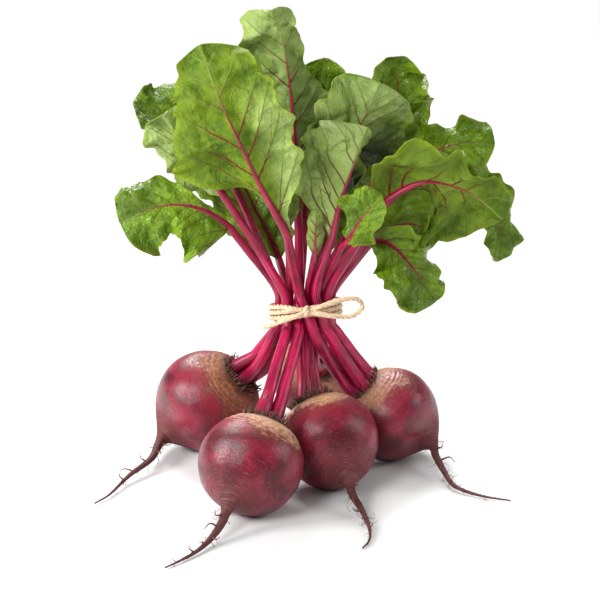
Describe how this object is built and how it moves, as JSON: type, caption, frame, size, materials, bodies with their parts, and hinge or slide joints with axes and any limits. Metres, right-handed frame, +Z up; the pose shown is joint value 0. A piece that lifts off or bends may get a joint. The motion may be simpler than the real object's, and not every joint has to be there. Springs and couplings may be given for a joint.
{
  "type": "bunch of beetroot",
  "caption": "Bunch of round beetroots with taproots, red stems and waved green leaves, tied round the stems with twine, standing on the roots.",
  "frame": {"origin": "on the ground under the middle of the bunch's outer box", "axes": "+Z up, -Y towards the front, where the twine's knot is, +X to the right as seen from the front"},
  "size_m": [0.2726, 0.3222, 0.302],
  "materials": {
    "skin": "dark crimson root skin, corky brown at the crown",
    "stem": "glossy magenta-red leaf stalk with pale streaks",
    "leaf": "green leaf, glossy above and paler beneath, red veins",
    "twine": "twisted jute twine"
  },
  "bodies": {
    "root": {"root_left": "skin", "root_front_left": "skin", "root_front_right": "skin", "root_right": "skin", "root_back": "skin", "stem_front_tall": "stem", "blade_front_tall": "leaf", "stem_top_centre": "stem", "blade_top_centre": "leaf", "stem_top_back": "stem", "blade_top_back": "leaf", "stem_left_back": "stem", "blade_left_back": "leaf", "stem_left_low": "stem", "blade_left_low": "leaf", "stem_left_mid": "stem", "blade_left_mid": "leaf", "stem_right_folded": "stem", "blade_right_folded": "leaf", "stem_centre_back": "stem", "blade_centre_back": "leaf", "stem_top_right": "stem", "blade_top_right": "leaf", "stem_right_high": "stem", "blade_right_high": "leaf", "stem_right_front": "stem", "blade_right_front": "leaf", "stem_far_right": "stem", "blade_far_right": "leaf", "stem_lower_right": "stem", "blade_lower_right": "leaf", "stem_right_mid": "stem", "blade_right_mid": "leaf", "stem_small_centre": "stem", "blade_small_centre": "leaf", "stem_small_left": "stem", "blade_small_left": "leaf", "stem_centre_right": "stem", "blade_centre_right": "leaf", "stem_back_left": "stem", "blade_back_left": "leaf", "stem_back_right": "stem", "blade_back_right": "leaf", "twine": "twine"}
  },
  "joints": []
}
